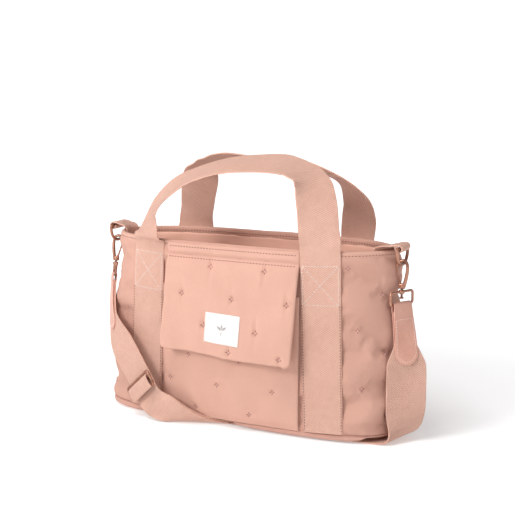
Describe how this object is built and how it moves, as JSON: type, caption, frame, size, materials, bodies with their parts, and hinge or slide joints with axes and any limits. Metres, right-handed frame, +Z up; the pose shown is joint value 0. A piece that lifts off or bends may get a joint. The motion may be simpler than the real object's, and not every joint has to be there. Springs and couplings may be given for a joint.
{
  "type": "quilted changing bag",
  "caption": "Quilted fabric changing bag with two webbing handles, a flap over its front pocket and a clip-on adjustable shoulder strap.",
  "frame": {"origin": "centre of the base, on the floor the bag stands on", "axes": "+Z up, +X to the right of someone who faces the flap, -Y out of the front"},
  "size_m": [0.4658, 0.1712, 0.3526],
  "materials": {
    "cotton": "matte quilted cotton muslin with small cross-stitched sprigs",
    "lining": "plain matte cotton lining",
    "webbing": "matte twill cotton webbing",
    "leather": "satin leather, edge-stitched",
    "metal": "satin rose-bronze plating",
    "label": "blank woven label",
    "board": "plain stiffening board"
  },
  "bodies": {
    "bag": {"front_panel": "cotton", "back_panel": "cotton", "front_lining": "lining", "back_lining": "lining", "rim_binding": "cotton", "lining_floor": "lining", "base_board": "board", "base_panel": "cotton", "front_left_leg": "webbing", "front_right_leg": "webbing", "back_left_leg": "webbing", "back_right_leg": "webbing", "front_pocket": "cotton", "flap_band": "cotton", "pocket_snap": "metal", "left_ring_tab": "webbing", "right_ring_tab": "webbing", "long_webbing": "webbing", "short_webbing": "webbing", "adjuster_ring": "metal"},
    "front_handle": {"front_handle": "webbing"},
    "back_handle": {"back_handle": "webbing"},
    "flap": {"pocket_flap": "cotton", "flap_backing": "lining", "flap_label": "label", "flap_snap": "metal"},
    "slider": {"slider": "metal", "sewn_end": "webbing"},
    "left_ring": {"left_ring": "metal"},
    "right_ring": {"right_ring": "metal"},
    "left_strap": {"left_swivel_loop": "metal", "left_end_tab": "leather", "left_webbing": "webbing"},
    "right_strap": {"right_swivel_loop": "metal", "right_end_tab": "leather", "right_webbing": "webbing"},
    "left_hook": {"left_hook": "metal", "left_gate_pin": "metal"},
    "right_hook": {"right_hook": "metal", "right_gate_pin": "metal"},
    "left_gate": {"left_hook_gate": "metal"},
    "right_gate": {"right_hook_gate": "metal"}
  },
  "joints": [
    {"name": "front_handle_tilt", "type": "hinge", "parent": "bag", "child": "front_handle", "pos_m": [0, -0.0617, 0.2385], "axis": [-1, 0, 0], "range_deg": [-95, 8]},
    {"name": "back_handle_tilt", "type": "hinge", "parent": "bag", "child": "back_handle", "pos_m": [0, 0.0617, 0.2385], "axis": [1, 0, 0], "range_deg": [-95, 8]},
    {"name": "flap_open", "type": "hinge", "parent": "bag", "child": "flap", "pos_m": [0.0035, -0.0763, 0.2208], "axis": [-1, 0, 0], "range_deg": [0, 150]},
    {"name": "slider_slide", "type": "slide", "parent": "bag", "child": "slider", "axis": [-0.6105, 0.1503, 0.7776], "range_m": [-0.004, 0.045]},
    {"name": "left_ring_swing", "type": "hinge", "parent": "bag", "child": "left_ring", "pos_m": [-0.21, 0, 0.2415], "axis": [0, 1, 0], "range_deg": [0, 15]},
    {"name": "right_ring_swing", "type": "hinge", "parent": "bag", "child": "right_ring", "pos_m": [0.209, -0.012, 0.2415], "axis": [0, -1, 0], "range_deg": [0, 15]},
    {"name": "left_strap_lean", "type": "hinge", "parent": "bag", "child": "left_strap", "pos_m": [-0.21, 0, 0.092], "axis": [0, -1, 0], "range_deg": [0, 2.5]},
    {"name": "right_strap_lean", "type": "hinge", "parent": "bag", "child": "right_strap", "pos_m": [0.221, -0.023, 0.034], "axis": [0, 1, 0], "range_deg": [0, 1.7]},
    {"name": "left_hook_swivel", "type": "hinge", "parent": "left_strap", "child": "left_hook", "pos_m": [-0.21, 0, 0.2256], "axis": [0, 0.2419, 0.9703], "range_deg": [-25, 25]},
    {"name": "right_hook_swivel", "type": "hinge", "parent": "right_strap", "child": "right_hook", "pos_m": [0.209, -0.012, 0.19], "axis": [0, 0, 1], "range_deg": [-25, 25]},
    {"name": "left_gate_open", "type": "hinge", "parent": "left_hook", "child": "left_gate", "pos_m": [-0.2086, -0.00755, 0.19533], "axis": [0, -0.9703, 0.2419], "range_deg": [0, 22], "stiffness_Nm_per_rad": 0.0004},
    {"name": "right_gate_open", "type": "hinge", "parent": "right_hook", "child": "right_gate", "pos_m": [0.2076, -0.012, 0.1944], "axis": [0, 1, 0], "range_deg": [0, 22], "stiffness_Nm_per_rad": 0.0004}
  ],
  "couplings": [
    {"joint": "right_strap_lean", "follows": "right_ring_swing", "ratio": 0.1113},
    {"joint": "left_strap_lean", "follows": "left_ring_swing", "ratio": 0.1616}
  ]
}
